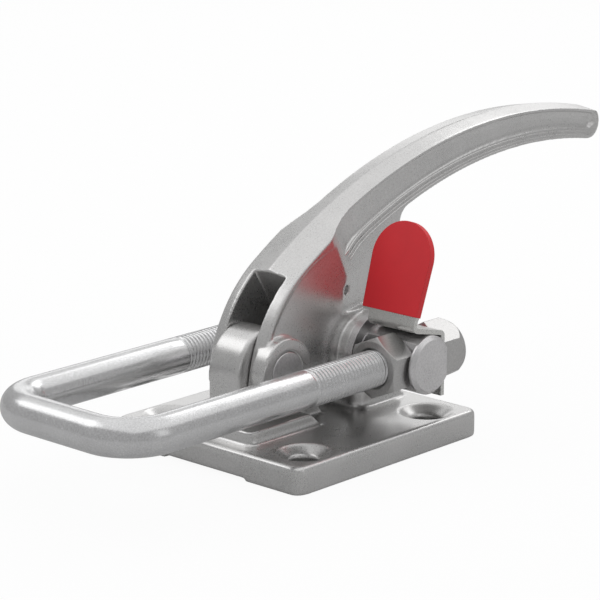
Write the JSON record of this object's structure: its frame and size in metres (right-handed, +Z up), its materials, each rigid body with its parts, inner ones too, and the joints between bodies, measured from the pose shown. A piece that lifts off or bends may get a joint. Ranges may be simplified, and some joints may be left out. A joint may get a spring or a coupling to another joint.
{
  "type": "over centre toggle latch",
  "caption": "Heavy toggle latch on a square bolt down plate: a bowed lever pulls an adjustable U hook over centre, with a thumb lever beside it.",
  "frame": {"origin": "centre of the bolt pattern on the plate's mounting face", "axes": "+X along the closed grip, away from the hook's cross bar; +Z up, away from the mounting face; -Y the side with the thumb lever"},
  "size_m": [0.3438, 0.108, 0.1267],
  "materials": {
    "cast": "cast stainless steel, tumbled satin",
    "bar": "drawn stainless bar, satin, rolled thread",
    "turned": "turned stainless steel",
    "nut": "stainless steel, machined",
    "sheet": "folded stainless sheet, satin",
    "dipped": "red plastic dip, satin"
  },
  "bodies": {
    "base": {"base": "cast"},
    "handle": {"handle": "cast", "pivot_pin": "turned", "stop_pin": "turned"},
    "hook_carrier": {"thrust_washer_near": "turned", "thrust_washer_far": "turned"},
    "trunnion_set": {"trunnion": "cast", "front_nut_near": "nut", "front_nut_far": "nut", "rear_nut_near": "nut", "rear_nut_far": "nut", "rear_washer_far": "turned", "thumb_lever": "sheet", "thumb_grip": "dipped"},
    "u_hook": {"u_hook": "bar"}
  },
  "joints": [
    {"name": "handle_pivot", "type": "hinge", "parent": "base", "child": "handle", "pos_m": [-0.0268, 0, 0.039], "axis": [0, -1, 0], "range_deg": [0, 120]},
    {"name": "hook_level", "type": "hinge", "parent": "handle", "child": "hook_carrier", "pos_m": [0.02638, 0, 0.0377], "axis": [0, 1, 0], "range_deg": [0, 120]},
    {"name": "hook_swing", "type": "hinge", "parent": "hook_carrier", "child": "trunnion_set", "pos_m": [0.02638, 0, 0.0377], "axis": [0, 1, 0], "range_deg": [-10, 12]},
    {"name": "hook_adjust", "type": "slide", "parent": "trunnion_set", "child": "u_hook", "axis": [1, 0, 0], "range_m": [0, 0.028]}
  ],
  "couplings": [
    {"joint": "hook_level", "follows": "handle_pivot", "ratio": 1}
  ]
}
